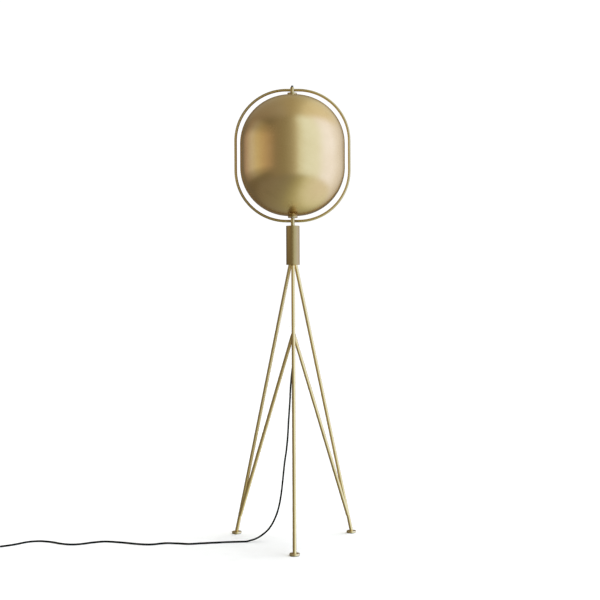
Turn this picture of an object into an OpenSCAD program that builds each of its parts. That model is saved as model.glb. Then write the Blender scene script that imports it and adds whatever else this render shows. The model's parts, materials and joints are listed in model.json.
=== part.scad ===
// Tripod floor lamp with a revolving spun-brass shade in an upright ring.
// Millimetres, +Z up. Origin: on the floor, on the axis of the column.
// The front leg points along -Y and the ring stands in the XZ plane.

/* [Tripod] */
// Radius of the circle that the feet stand on
foot_circle_r = 228; // [215:1:240]
// Diameter of a foot disc
foot_d = 32.5; // [30:0.5:40]
// Thickness of a foot disc
foot_t = 6; // [5:0.5:8]
// Thickness of the pad under a foot disc
pad_t = 1.5; // [1:0.5:3]
// Diameter of the leg and brace rods
rod_d = 12; // [10:0.5:12.5]
// Distance of a leg's axis from the lamp's axis at the underside of the column
leg_top_r = 10.6; // [10.4:0.1:11]
// Height at which the brace axes meet the lamp's axis
brace_apex_z = 694; // [680:1:710]
// Height at which a brace's axis meets its leg's axis
brace_foot_z = 49; // [45:1:60]
// Outer diameter of the centre tube
tube_d = 8; // [7.5:0.1:8]
// Height of the centre tube's lower end
tube_low_z = 645; // [630:1:650]

/* [Column] */
// Outer diameter of the column
column_d = 45; // [43:0.5:48]
// Wall thickness of the column
column_wall = 2; // [1.5:0.1:2.5]
// Height of the column's underside above the floor
column_low_z = 921; // [915:1:930]
// Height of the column
column_h = 130; // [125:1:140]

/* [Ring] */
// Outside width of the ring
ring_w = 389; // [387:1:400]
// Outside height of the ring
ring_h = 447; // [445:1:455]
// Diameter of the ring's rod
ring_rod_d = 9; // [8:0.5:10]
// Outside radius of the ring's four bends
ring_bend = 174.5; // [170:0.5:180]
// Outer diameter of the sleeves that carry the ring
sleeve_d = 13; // [12:0.5:14]

/* [Shade] */
// Height of the centre of the shade and the ring
centre_z = 1286; // [1284:1:1290]
// Outside diameter of the shade
shade_d = 350; // [340:1:352]
// Outside height of the shade
shade_h = 403; // [400:1:405]
// Radius of the shade's domed ends
dome_r = 163.5; // [155:0.5:165]
// Thickness of the spun brass
shade_wall = 1.2; // [1:0.1:2]
// Thickness of the opal diffuser
diffuser_wall = 3; // [2:0.5:4]
// Distance behind the axis at which the diffuser takes over from the brass
seam_y = 45; // [40:1:60]
// Diameter of the collars that clamp the shade at its two poles
collar_d = 32; // [30:1:36]

/* [Flex] */
// Diameter of the flex
cord_d = 6; // [5.5:0.1:6]
// Diameter of the stored coil at the middle of its turns
coil_d = 66; // [60:1:72]

/* [Hidden] */
$fn = 96;

BRASS = "#b8975a";
STEEL = "#9a9a9c";
BLACK = "#1b1b1c";
OPAL = "#f2efe8";

// Fits
run_gap = 0.05;    // radial clearance of a running or threaded fit
slip = 0.1;        // gap between a washer and the part that turns on it
eps = 1;           // how far a cutter runs past the part it cuts
contact = 0.1;     // gap between two curved faces that meet
join_gap = 0.3;    // gap between the flex and the fitting that holds it

// Directions of the three legs, in degrees round +Z
FRONT = -90;
RIGHT = 30;
LEFT = 150;

// Tripod
foot_top_z = pad_t + foot_t;
pad_d = foot_d - 3;
foot_screw_d = 4;
foot_screw_l = 14;
foot_head_d = 8;
foot_head_h = 2.2;
leg_rise = column_low_z - foot_top_z;
leg_run = foot_circle_r - leg_top_r;
leg_tilt = atan(leg_run / leg_rise);
leg_l = sqrt(pow(leg_run, 2) + pow(leg_rise, 2));
leg_seat = 1.3;    // how deep a leg's end sits in the column's base
stud_d = 6;
stud_in_leg = 12;
stud_in_base = 8;
brace_foot_r = foot_circle_r - (brace_foot_z - foot_top_z) * leg_run / leg_rise;
brace_rise = brace_apex_z - brace_foot_z;
brace_tilt = atan(brace_foot_r / brace_rise);
brace_l = sqrt(pow(brace_foot_r, 2) + pow(brace_rise, 2));
brace_blunt = 14;  // length left off a brace's thin lower end
hub_d = 15;
hub_low_z = 655;
hub_top_z = 688;
hub_cone_h = 5;
hub_lip = 1.5;     // how much wider than the tube the hub's cone ends
tube_bore = cord_d + 0.6;
relief_flange_t = 2;
relief_tail_l = 26;
relief_tip_d = 7.6;
cord_exit_z = tube_low_z - relief_flange_t - relief_tail_l;

// Column
column_top_z = column_low_z + column_h;
column_bore = column_d - 2 * column_wall;
plug_fit_d = column_bore - 2 * run_gap;
base_t = 22;
cap_t = 8;
base_top_z = column_low_z + base_t;
tube_top_z = base_top_z + 6.5;
thin_nut_t = 4;
thin_nut_af = 13;
grub_d = 4;
grub_l = 8;
grub_key_af = 2;
grub_key_t = 3;
grub_out_l = grub_l + column_wall - 0.6;
grub_turns = [60, 120];
grub_low_z = column_low_z + 16;
grub_top_z = column_top_z - cap_t / 2;

// Stem and pivots
stem_d = 10;
stem_bore = 7;
stem_low_z = column_top_z - 26;
stem_top_z = 1147;
nut_af = 14;
nut_t = 5;
washer_t = 1.5;
washer_d = 20;
pole_h = shade_h / 2;
shade_low_z = centre_z - pole_h;
shade_top_z = centre_z + pole_h;
lower_collar_t = 6.5;
upper_collar_t = 8;
neck_d = 20;
pole_hole_r = neck_d / 2 + 0.1;
neck_l = 12;
thrust_t = 0.9;
collar_low_z = shade_low_z - lower_collar_t;
collar_top_z = shade_top_z + upper_collar_t;
thrust_z = collar_low_z - slip - thrust_t;
pin_d = 8;
pin_top_z = 1520;
pin_low_z = shade_top_z - neck_l - 7;
slot_w = 1.4;
slot_h = 2;
upper_sleeve_low_z = collar_top_z + 2 * slip + thrust_t;
upper_sleeve_top_z = 1514.5;
ring_nut_d = 30;
ring_nut_t = 4;
ring_nut_gap = 0.25;

// Ring, all to the middle of its rod
ring_bend_r = ring_bend - ring_rod_d / 2;
ring_flat = ring_w / 2 - ring_bend;
ring_straight = ring_h - 2 * ring_bend;

// Shade
flat_r = shade_d / 2 - dome_r;
shade_straight = shade_h - 2 * dome_r;
dome_fn = 180;
seam_gap = 0.3;
band_inset = shade_wall + 0.1;
band_t = 2;
band_w = 12;
lip_inset = band_inset + band_t + 0.3;
lip_t = 2.5;
lip_l = 10;
lip_root = 3;
seam_screw_d = 3;
seam_screw_l = 6;
seam_head_d = 5.5;
seam_head_t = 1;
seam_screw_y = seam_y - 6;
side_screw_h = 28;

// Lamp holder and bulb
holder_cap_z = 1137;
holder_cap_d = 39;
holder_cap_h = 22;
holder_neck_d = 18;
holder_neck_h = 6;
holder_shoulder_d = 24;
skirt_d = 40;
skirt_h = 44;
skirt_wall = 2;
skirt_z = holder_cap_z + holder_cap_h;
contact_h = 8;
bulb_cap_d = 26.4;
bulb_cap_h = 25;
bulb_tip_d = 10;
bulb_tip_h = 5;
bulb_cap_z = skirt_z + contact_h + 1;
bulb_d = 95;
bulb_neck_r = 13.4;
bulb_z = 1262;
bulb_wall = 1;

// Terminal block on its strap
strap_w = 12;
strap_t = 1.5;
strap_h = 44;
strap_l = 20;
strap_x = -13;
block_size = [18, 12, 24];
block_z = 962;
block_x = strap_x + strap_t + contact;
terminal_d = 4;
terminal_x = block_x + block_size[0] / 2;
terminal_z = [block_z + block_size[2] / 4, block_z + block_size[2] * 3 / 4];
lead_d = 5;
lead_gap = 0.2;
lead_top_z = holder_cap_z + 14;

// Flex: the route from the relief to the switch, then from the switch to the coil
cord_r = cord_d / 2;
cord_floor_z = cord_r + 0.1;
cord_sides = 8;
SWITCH_X = -1045;
SWITCH_Y = -96;
entry_z = 6.5;
switch_l = 50;
switch_w = 28;
switch_h = 18;
gland_l = 20;
gland_d = 9;
switch_end = switch_l / 2 + gland_l;
button_d = 17;
button_h = 5.5;
button_top_z = 21.5;
button_stem = 4;     // how far the button reaches down into the body
button_well = 8;
button_chamfer = 1;
route_out = [
    [0, 0, cord_exit_z], [0, 0, 605], [-2, 0, 585], [-6, -1, 555], [-10, -2, 510], [-13, -3, 455],
    [-17, -4, 400], [-20, -4, 350], [-25, -5, 300], [-31, -6, 260], [-37, -7, 205],
    [-43, -8, 155], [-51, -10, 113], [-62, -12, 80], [-78, -16, 50], [-98, -20, 29],
    [-123, -25, 13], [-150, -30, 5],
    [-180, -33, cord_floor_z], [-220, -37, cord_floor_z], [-262, -45, cord_floor_z],
    [-300, -52, cord_floor_z], [-345, -62, cord_floor_z], [-382, -53, cord_floor_z],
    [-425, -48, cord_floor_z], [-472, -66, cord_floor_z], [-515, -57, cord_floor_z],
    [-560, -37, cord_floor_z], [-598, -23, cord_floor_z], [-632, -16, cord_floor_z],
    [-667, -29, cord_floor_z], [-700, -50, cord_floor_z], [-733, -58, cord_floor_z],
    [-770, -44, cord_floor_z], [-808, -17, cord_floor_z], [-848, -3, cord_floor_z],
    [-885, -14, cord_floor_z], [-919, -51, cord_floor_z], [-948, -74, cord_floor_z],
    [-975, -90, 4], [-992, SWITCH_Y, entry_z], [SWITCH_X + switch_end + join_gap, SWITCH_Y, entry_z]
];

// Stored coil, and the plug beside it
coil_turn = 6;
coil_lift = 0.9;
coil_r = coil_d / 2;
coil_w = 22;
coil_h = 12;
COIL_X = -1134;
COIL_Y = SWITCH_Y + 41;
tie_t = 0.8;
tie_w = 9;
tie_turn = 20;
tie_gap = 0.6;     // room inside the tie for the coil's curve
PLUG_X = COIL_X - 41;
PLUG_Y = COIL_Y + 60;
plug_w = 35;
plug_l = 34;
plug_t = 13.7;
plug_neck_w = 15;
plug_neck_l = 10;
plug_tail_l = 22;
plug_tail_d = 9.5;
plug_tip_d = 7;
prong_d = 4;
prong_l = 19;
prong_space = 18.6;
plug_z = plug_t / 2;
plug_tip_y = PLUG_Y - plug_neck_l - plug_tail_l;
into_coil = [
    [SWITCH_X - switch_end - join_gap, SWITCH_Y, entry_z], [SWITCH_X - switch_end - 6, SWITCH_Y, entry_z],
    [COIL_X + 26, SWITCH_Y, 4.5], [COIL_X + 10, SWITCH_Y, coil_lift + cord_r]
];
out_of_coil = [
    [PLUG_X, COIL_Y + 6, coil_lift + 3 * cord_r], [PLUG_X, COIL_Y + 20, coil_lift + 3 * cord_r - 1.5],
    [PLUG_X, plug_tip_y - 3, plug_z], [PLUG_X, plug_tip_y - join_gap, plug_z]
];

// ---------- helpers ----------

// Ring of rectangular section
module washer(outer_d, inner_d, z, t) {
    translate([0, 0, z])
        difference() {
            cylinder(d = outer_d, h = t);
            translate([0, 0, -eps]) cylinder(d = inner_d, h = t + 2 * eps);
        }
}

// Hexagon nut
module hex_nut(across_flats, bore_d, z, t) {
    translate([0, 0, z])
        difference() {
            cylinder(d = across_flats / cos(30), h = t, $fn = 6);
            translate([0, 0, -eps]) cylinder(d = bore_d, h = t + 2 * eps);
        }
}

// Places its children on a leg's axis, Z running up the leg from the top of the foot disc
module on_leg(turn) {
    rotate([0, 0, turn])
        translate([foot_circle_r, 0, foot_top_z])
            rotate([0, -leg_tilt, 0])
                children();
}

// Places its children on a brace's axis, Z running up the brace from the leg to the apex
module on_brace(turn) {
    rotate([0, 0, turn])
        translate([brace_foot_r, 0, brace_foot_z])
            rotate([0, -brace_tilt, 0])
                children();
}

// One point of a smooth curve through a list of points (Catmull-Rom)
function along(p, i, t) =
    let (a = p[max(i - 1, 0)], b = p[i], c = p[i + 1], d = p[min(i + 2, len(p) - 1)])
    0.5 * ((2 * b) + (c - a) * t + (2 * a - 5 * b + 4 * c - d) * t * t
        + (3 * b - a - 3 * c + d) * t * t * t);

// A curve's points, `steps` to each stretch, kept off the floor
function smooth(p, steps) =
    [for (i = [0 : len(p) - 2], k = [0 : steps - 1])
        let (q = along(p, i, k / steps)) [q[0], q[1], max(q[2], cord_floor_z)], p[len(p) - 1]];

function unit(v) = v / norm(v);
function heading(c, i) = unit(c[min(i + 1, len(c) - 1)] - c[max(i - 1, 0)]);

// Tube swept along a curve that never runs along `side`
module sweep(c, radius, side = [0, 1, 0]) {
    points = [for (i = [0 : len(c) - 1])
        let (t = heading(c, i), u = unit(cross(t, side)), v = cross(u, t))
        for (k = [0 : cord_sides - 1])
            c[i] + radius * (cos(360 * k / cord_sides) * u + sin(360 * k / cord_sides) * v)];
    last = len(c) - 1;
    sides = [for (i = [0 : last - 1], k = [0 : cord_sides - 1])
        let (k2 = (k + 1) % cord_sides)
        [i * cord_sides + k, i * cord_sides + k2, (i + 1) * cord_sides + k2, (i + 1) * cord_sides + k]];
    start = [[for (k = [cord_sides - 1 : -1 : 0]) k]];
    end = [[for (k = [0 : cord_sides - 1]) last * cord_sides + k]];
    polyhedron(points = points, faces = concat(start, sides, end));
}

// ---------- feet, legs and braces ----------

module foot(turn) {
    color(BRASS)
        rotate([0, 0, turn])
            translate([foot_circle_r, 0, pad_t])
                difference() {
                    union() {
                        cylinder(d = foot_d, h = foot_t - 1);
                        translate([0, 0, foot_t - 1])
                            cylinder(d1 = foot_d, d2 = foot_d - 2, h = 1);
                    }
                    translate([0, 0, -eps]) cylinder(d = foot_screw_d + 0.4, h = foot_t + 2 * eps);
                    translate([0, 0, -0.01])
                        cylinder(d1 = foot_head_d + 0.4, d2 = foot_screw_d + 0.4, h = foot_head_h + 0.2);
                }
}

module foot_front() { foot(FRONT); }
module foot_left() { foot(LEFT); }
module foot_right() { foot(RIGHT); }

module foot_pads() {
    color(BLACK)
        for (turn = [FRONT, RIGHT, LEFT])
            rotate([0, 0, turn])
                translate([foot_circle_r, 0, 0])
                    cylinder(d = pad_d, h = pad_t);
}

module foot_screw_shape() {
    cylinder(d1 = foot_head_d, d2 = foot_screw_d, h = foot_head_h);
    cylinder(d = foot_screw_d, h = foot_screw_l);
}

module foot_screws() {
    color(STEEL)
        for (turn = [FRONT, RIGHT, LEFT])
            rotate([0, 0, turn])
                translate([foot_circle_r, 0, pad_t + 0.1])
                    foot_screw_shape();
}

module leg(turn) {
    color(BRASS)
        difference() {
            on_leg(turn)
                translate([0, 0, -3])
                    cylinder(d = rod_d, h = leg_l + leg_seat + 3);
            rotate([0, 0, turn])
                translate([foot_circle_r - foot_d, -foot_d, foot_top_z - foot_d])
                    cube([2 * foot_d, 2 * foot_d, foot_d]);
            rotate([0, 0, turn])
                translate([foot_circle_r, 0, foot_top_z - eps])
                    cylinder(r = foot_screw_d / 2 + run_gap, h = foot_screw_l - foot_t + 2 * eps);
            on_leg(turn)
                translate([0, 0, leg_l + leg_seat - stud_in_leg])
                    cylinder(r = stud_d / 2 + run_gap, h = stud_in_leg + eps);
        }
}

module leg_front() { leg(FRONT); }
module leg_left() { leg(LEFT); }
module leg_right() { leg(RIGHT); }

// The brace is shaped to the hub at its top and to the leg at its foot
module brace(turn) {
    color(BRASS)
        difference() {
            on_brace(turn)
                translate([0, 0, brace_blunt])
                    cylinder(d = rod_d, h = brace_l - brace_blunt);
            translate([0, 0, hub_low_z - hub_d]) cylinder(d = hub_d + contact, h = 5 * hub_d);
            on_leg(turn) cylinder(d = rod_d + contact, h = leg_l / 2);
        }
}

module brace_front() { brace(FRONT); }
module brace_left() { brace(LEFT); }
module brace_right() { brace(RIGHT); }

module leg_studs() {
    color(STEEL)
        for (turn = [FRONT, RIGHT, LEFT])
            on_leg(turn)
                translate([0, 0, leg_l + leg_seat - stud_in_leg + 0.2])
                    cylinder(d = stud_d, h = stud_in_leg + stud_in_base - 0.4);
}

module brace_hub() {
    color(BRASS)
        difference() {
            union() {
                translate([0, 0, hub_low_z]) cylinder(d = hub_d, h = hub_top_z - hub_low_z);
                translate([0, 0, hub_top_z]) cylinder(d1 = hub_d, d2 = tube_d + hub_lip, h = hub_cone_h);
            }
            translate([0, 0, hub_low_z - eps])
                cylinder(r = tube_d / 2 + run_gap, h = hub_top_z - hub_low_z + hub_cone_h + 2 * eps);
        }
}

module centre_tube() {
    color(BRASS) washer(tube_d, tube_bore, tube_low_z, tube_top_z - tube_low_z);
}

module tube_nut() {
    color(STEEL)
        hex_nut(thin_nut_af, tube_d + 2 * run_gap, base_top_z + strap_t, thin_nut_t);
}

// Tapered relief that carries the flex out of the tube's lower end
module cord_relief() {
    color(BLACK)
        difference() {
            union() {
                translate([0, 0, cord_exit_z])
                    cylinder(d1 = relief_tip_d, d2 = tube_d + 1, h = relief_tail_l);
                translate([0, 0, tube_low_z - relief_flange_t])
                    cylinder(d = tube_d + 1.6, h = relief_flange_t);
            }
            translate([0, 0, cord_exit_z - eps])
                cylinder(r = cord_r + run_gap, h = relief_tail_l + relief_flange_t + 2 * eps);
        }
}

// ---------- column ----------

module column_shell() {
    color(BRASS)
        difference() {
            washer(column_d, column_bore, column_low_z, column_h);
            grub_holes(column_bore / 2 - eps, column_wall + 2 * eps + 1, grub_d + 0.3);
        }
}

// Radial holes for the grub screws, which are all on the back of the column
module grub_holes(from_r, depth, d) {
    for (turn = grub_turns, z = [grub_low_z, grub_top_z])
        translate([0, 0, z])
            rotate([0, 90, turn])
                translate([0, 0, from_r])
                    cylinder(d = d, h = depth);
}

module column_base() {
    color(BRASS)
        difference() {
            translate([0, 0, column_low_z]) cylinder(d = plug_fit_d, h = base_t);
            translate([0, 0, column_low_z - eps])
                cylinder(r = tube_d / 2 + run_gap, h = base_t + 2 * eps);
            for (turn = [FRONT, RIGHT, LEFT]) {
                on_leg(turn)
                    translate([0, 0, leg_l - 10])
                        cylinder(r = rod_d / 2 + run_gap, h = 10 + leg_seat);
                on_leg(turn)
                    translate([0, 0, leg_l])
                        cylinder(r = stud_d / 2 + run_gap, h = leg_seat + stud_in_base);
            }
            grub_holes(plug_fit_d / 2 - grub_l, grub_l + eps, grub_d + 2 * run_gap);
        }
}

module column_cap() {
    color(BRASS)
        difference() {
            washer(plug_fit_d, stem_d + 2 * run_gap, column_top_z - cap_t, cap_t);
            grub_holes(plug_fit_d / 2 - grub_l, grub_l + eps, grub_d + 2 * run_gap);
        }
}

module column_screws() {
    color(STEEL)
        for (turn = grub_turns, z = [grub_low_z, grub_top_z])
            translate([0, 0, z])
                rotate([0, 90, turn])
                    translate([0, 0, plug_fit_d / 2 - grub_l + 0.2])
                        difference() {
                            cylinder(d = grub_d, h = grub_out_l);
                            translate([0, 0, grub_out_l - grub_key_t + eps])
                                cylinder(d = grub_key_af / cos(30), h = grub_key_t, $fn = 6);
                        }
}

// Strap that stands on the base boss and carries the terminal block
module block_strap() {
    color(STEEL)
        difference() {
            union() {
                translate([strap_x, -strap_w / 2, base_top_z]) cube([strap_l, strap_w, strap_t]);
                translate([strap_x, -strap_w / 2, base_top_z]) cube([strap_t, strap_w, strap_h]);
            }
            translate([0, 0, base_top_z - eps]) cylinder(d = tube_d + 4 * contact, h = strap_t + 2 * eps);
        }
}

module terminal_block() {
    color("ivory")
        difference() {
            translate([block_x, -block_size[1] / 2, block_z]) cube(block_size);
            for (z = terminal_z)
                translate([terminal_x, 0, z])
                    rotate([-90, 0, 0])
                        cylinder(d = terminal_d + 4 * contact, h = block_size[1]);
        }
}

module terminal_screws() {
    color(BRASS)
        for (z = terminal_z)
            translate([terminal_x, 2 * contact, z])
                rotate([-90, 0, 0])
                    cylinder(d = terminal_d, h = block_size[1] / 2 - 1);
}

// The flex inside the centre tube, up to the terminal block
module tube_lead() {
    color(BLACK)
        translate([0, 0, cord_exit_z + join_gap])
            cylinder(d = cord_d, h = block_z - lead_gap - cord_exit_z - join_gap);
}

// The lead from the terminal block to the lamp holder
module stem_lead() {
    low_z = block_z + block_size[2] + lead_gap;
    color("white")
        translate([0, 0, low_z]) cylinder(d = lead_d, h = lead_top_z - low_z);
}

// ---------- stem, sleeves and ring ----------

module stem_tube() {
    color(BRASS) washer(stem_d, stem_bore, stem_low_z, stem_top_z - stem_low_z);
}

module stem_washer() {
    color(STEEL)
        washer(washer_d, stem_d + 2 * run_gap, column_top_z - cap_t - washer_t, washer_t);
}

module stem_nut() {
    color(STEEL)
        hex_nut(nut_af, stem_d + 2 * run_gap, column_top_z - cap_t - washer_t - nut_t, nut_t);
}

module lower_sleeve() {
    color(BRASS)
        washer(sleeve_d, stem_d + 2 * run_gap, column_top_z, thrust_z - column_top_z);
}

module upper_sleeve() {
    color(BRASS)
        washer(sleeve_d, pin_d + 2 * run_gap, upper_sleeve_low_z,
               upper_sleeve_top_z - upper_sleeve_low_z);
}

// Right half of the ring: two short bars from the sleeves, two bends and the upright
module half_ring() {
    color(BRASS)
        difference() {
            translate([0, 0, centre_z])
                rotate([90, 0, 0]) {
                    for (side = [-1, 1]) {
                        translate([0, side * (ring_h - ring_rod_d) / 2, 0])
                            rotate([0, 90, 0])
                                cylinder(d = ring_rod_d, h = ring_flat);
                        translate([ring_flat, side * ring_straight / 2, 0])
                            rotate([0, 0, side > 0 ? 0 : -90])
                                rotate_extrude(angle = 90, $fn = dome_fn)
                                    translate([ring_bend_r, 0]) circle(d = ring_rod_d, $fn = 48);
                    }
                    translate([ring_flat + ring_bend_r, -ring_straight / 2, 0])
                        rotate([-90, 0, 0])
                            cylinder(d = ring_rod_d, h = ring_straight);
                }
            translate([0, 0, column_top_z]) cylinder(d = sleeve_d + contact, h = pin_top_z - column_top_z);
        }
}

module ring_right() { half_ring(); }
module ring_left() { mirror([1, 0, 0]) half_ring(); }

module thrust_washer() {
    color("white") washer(sleeve_d, stem_d + 2 * run_gap, thrust_z, thrust_t);
}

module upper_washer() {
    color("white") washer(sleeve_d, pin_d + 2 * run_gap, collar_top_z + slip, thrust_t);
}

module retaining_washer() {
    color(STEEL)
        washer(washer_d + 2, stem_d + 2 * run_gap, shade_low_z + neck_l + 0.4, washer_t);
}

module retaining_nut() {
    color(STEEL)
        hex_nut(nut_af, stem_d + 2 * run_gap, shade_low_z + neck_l + 0.4 + washer_t, nut_t);
}

// ---------- shade ----------

// Right half of the shade's upright section, drawn in from the outer surface by `inset`
module section(inset) {
    r = dome_r - inset;
    intersection() {
        union() {
            translate([0, -pole_h + inset]) square([flat_r, shade_h - 2 * inset]);
            translate([0, -shade_straight / 2]) square([flat_r + r, shade_straight]);
            for (side = [-1, 1])
                translate([flat_r, side * shade_straight / 2]) circle(r = r, $fn = dome_fn);
        }
        translate([0, -shade_h]) square([shade_d, 2 * shade_h]);
    }
}

// Layer of the shade's form between two insets, open round the two necks
module layer(outer_inset, inner_inset) {
    translate([0, 0, centre_z])
        rotate_extrude($fn = dome_fn)
            difference() {
                section(outer_inset);
                section(inner_inset);
                translate([-pole_hole_r, -shade_h]) square([2 * pole_hole_r, 2 * shade_h]);
            }
}

// Everything between two distances behind the axis
module slab(from_y, to_y) {
    translate([-shade_d, from_y, shade_low_z - shade_h])
        cube([2 * shade_d, to_y - from_y, 3 * shade_h]);
}

// Places its children at each seam screw, Z pointing outwards along the surface normal
module at_seam_screws() {
    side_turn = asin(seam_screw_y / (shade_d / 2));
    pole_tilt = asin((seam_screw_y - flat_r) / dome_r);
    for (turn = [side_turn, 180 - side_turn], z = [-side_screw_h, side_screw_h])
        translate([0, 0, centre_z + z])
            rotate([0, 90, turn])
                translate([0, 0, shade_d / 2])
                    children();
    for (side = [0, 1])
        translate([0, 0, centre_z])
            mirror([0, 0, side])
                translate([0, flat_r, shade_straight / 2])
                    rotate([-pole_tilt, 0, 0])
                        translate([0, 0, dome_r])
                            children();
}

module shade_shell() {
    color(BRASS)
        difference() {
            intersection() {
                layer(0, shade_wall);
                slab(-shade_d, seam_y);
            }
            at_seam_screws()
                translate([0, 0, -5]) cylinder(d = seam_screw_d + 0.2, h = 10);
        }
}

module seam_band() {
    color(BRASS)
        difference() {
            intersection() {
                layer(band_inset, band_inset + band_t);
                slab(seam_y - band_w, seam_y);
            }
            at_seam_screws()
                translate([0, 0, -8]) cylinder(d = seam_screw_d + 0.2, h = 16);
        }
}

// Opal half that closes the back, with a lip that telescopes into the seam band
module diffuser() {
    color(OPAL)
        difference() {
            union() {
                intersection() {
                    layer(0, diffuser_wall);
                    slab(seam_y + seam_gap, shade_d);
                }
                intersection() {
                    layer(diffuser_wall - 0.5, lip_inset + lip_t);
                    slab(seam_y + seam_gap, seam_y + seam_gap + lip_root);
                }
                intersection() {
                    layer(lip_inset, lip_inset + lip_t);
                    slab(seam_y - lip_l, seam_y + seam_gap + lip_root);
                }
            }
            at_seam_screws()
                translate([0, 0, -8]) cylinder(d = seam_screw_d + 0.2, h = 16);
        }
}

module seam_screws() {
    color(BRASS)
        at_seam_screws() {
            translate([0, 0, 0.1]) cylinder(d = seam_head_d, h = seam_head_t);
            translate([0, 0, -seam_screw_l]) cylinder(d = seam_screw_d, h = seam_screw_l + 0.5);
        }
}

// Collar outside a pole of the shade, with a neck through the pole's hole
module collar(flange_t, bore_d) {
    difference() {
        union() {
            translate([0, 0, -flange_t]) cylinder(d = collar_d, h = flange_t);
            cylinder(d = neck_d, h = neck_l);
        }
        translate([0, 0, -flange_t - eps]) cylinder(d = bore_d, h = flange_t + neck_l + 2 * eps);
    }
}

module lower_collar() {
    color(BRASS)
        translate([0, 0, shade_low_z]) collar(lower_collar_t, stem_d + 2 * run_gap);
}

module upper_collar() {
    color(BRASS)
        translate([0, 0, shade_top_z])
            mirror([0, 0, 1]) collar(upper_collar_t, pin_d + 2 * run_gap);
}

module lower_ring_nut() {
    color(BRASS)
        washer(ring_nut_d, neck_d + 2 * run_gap, shade_low_z + shade_wall + ring_nut_gap, ring_nut_t);
}

module upper_ring_nut() {
    color(BRASS)
        washer(ring_nut_d, neck_d + 2 * run_gap,
               shade_top_z - shade_wall - ring_nut_gap - ring_nut_t, ring_nut_t);
}

// Pivot pin that turns in the upper sleeve, with a screwdriver slot in its top end
module pivot_pin() {
    color("#4a4a4a")
        difference() {
            translate([0, 0, pin_low_z]) cylinder(d = pin_d, h = pin_top_z - pin_low_z);
            translate([-pin_d, -slot_w / 2, pin_top_z - slot_h]) cube([2 * pin_d, slot_w, 2 * slot_h]);
        }
}

module pivot_nut() {
    color(STEEL)
        hex_nut(thin_nut_af, pin_d + 2 * run_gap, shade_top_z - neck_l - nut_t, nut_t);
}

// ---------- lamp holder and bulb ----------

module holder_cap() {
    color(BLACK)
        difference() {
            union() {
                translate([0, 0, holder_cap_z]) cylinder(d = holder_neck_d, h = holder_neck_h);
                translate([0, 0, holder_cap_z + holder_neck_h])
                    cylinder(d1 = holder_shoulder_d, d2 = holder_cap_d, h = holder_cap_h - holder_neck_h);
            }
            translate([0, 0, holder_cap_z - eps])
                cylinder(r = stem_d / 2 + run_gap, h = stem_top_z - holder_cap_z + eps);
            translate([0, 0, holder_cap_z])
                cylinder(d = lead_d + 4 * contact, h = lead_top_z - holder_cap_z + 5 * contact);
        }
}

module holder_skirt() {
    color(BLACK)
        washer(skirt_d, skirt_d - 2 * skirt_wall, skirt_z, skirt_h);
}

module contact_block() {
    color("white")
        translate([0, 0, skirt_z]) cylinder(d = skirt_d - 2 * skirt_wall - 0.4, h = contact_h);
}

module bulb_cap() {
    color(STEEL)
        translate([0, 0, bulb_cap_z]) {
            cylinder(d1 = bulb_tip_d, d2 = bulb_cap_d, h = bulb_tip_h);
            translate([0, 0, bulb_tip_h]) cylinder(d = bulb_cap_d, h = bulb_cap_h - bulb_tip_h);
        }
}

module bulb_glass() {
    color(OPAL)
        difference() {
            union() {
                translate([0, 0, bulb_z]) sphere(d = bulb_d);
                translate([0, 0, bulb_cap_z + bulb_cap_h + contact])
                    cylinder(r = bulb_neck_r, h = bulb_z - bulb_cap_z - bulb_cap_h);
            }
            translate([0, 0, bulb_z]) sphere(d = bulb_d - 2 * bulb_wall);
        }
}

// ---------- flex, switch and plug ----------

module cord_tube() {
    color(BLACK) sweep(smooth(route_out, 2), cord_r);
}

// Short runs from the switch to the coil and from the coil to the plug
module cord_tail() {
    color(BLACK) {
        sweep(smooth(into_coil, 3), cord_r);
        sweep(smooth(out_of_coil, 3), cord_r, [1, 0, 0]);
    }
}

// Outer form of the stored coil
module cord_coil() {
    color(BLACK)
        translate([COIL_X, COIL_Y, coil_lift])
            rotate_extrude()
                translate([coil_r - coil_w / 2, 0]) square([coil_w, coil_h]);
}

module cord_tie() {
    color("#3a3a3c")
        translate([COIL_X, COIL_Y, 0])
            rotate([0, 0, tie_turn])
                translate([coil_r, 0, 0])
                    difference() {
                        translate([-coil_w / 2 - tie_gap - tie_t, -tie_w / 2, 0])
                            cube([coil_w + 2 * (tie_gap + tie_t), tie_w, coil_h + coil_lift + tie_t]);
                        translate([-coil_w / 2 - tie_gap, -tie_w, coil_lift - 0.05])
                            cube([coil_w + 2 * tie_gap, 2 * tie_w, coil_h + 0.1]);
                    }
}

// Outline of the switch from above, with half-round ends
module switch_outline(inset) {
    half = switch_l / 2 - switch_w / 2;
    square([2 * half, switch_w - 2 * inset], center = true);
    for (side = [-1, 1])
        translate([side * half, 0]) circle(d = switch_w - 2 * inset);
}

// Body of the foot switch, with a tapered gland at each end and a well for the button
module switch_body() {
    color(BLACK)
        difference() {
            union() {
                translate([SWITCH_X, SWITCH_Y, 0]) linear_extrude(switch_h) switch_outline(0);
                for (side = [-1, 1])
                    translate([SWITCH_X + side * (switch_l / 2 - 1), SWITCH_Y, entry_z])
                        rotate([0, side * 90, 0])
                            cylinder(d1 = gland_d, d2 = cord_d + 0.8, h = gland_l + 1);
            }
            translate([SWITCH_X, SWITCH_Y, switch_h - button_well])
                cylinder(d = button_d + 8 * contact, h = button_well + eps);
        }
}

module switch_button() {
    color("#2c2c2e")
        translate([SWITCH_X, SWITCH_Y, button_top_z - button_h - button_stem]) {
            cylinder(d = button_d, h = button_h + button_stem - button_chamfer);
            translate([0, 0, button_h + button_stem - button_chamfer])
                cylinder(d1 = button_d, d2 = button_d - 3 * button_chamfer, h = button_chamfer);
        }
}

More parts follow.
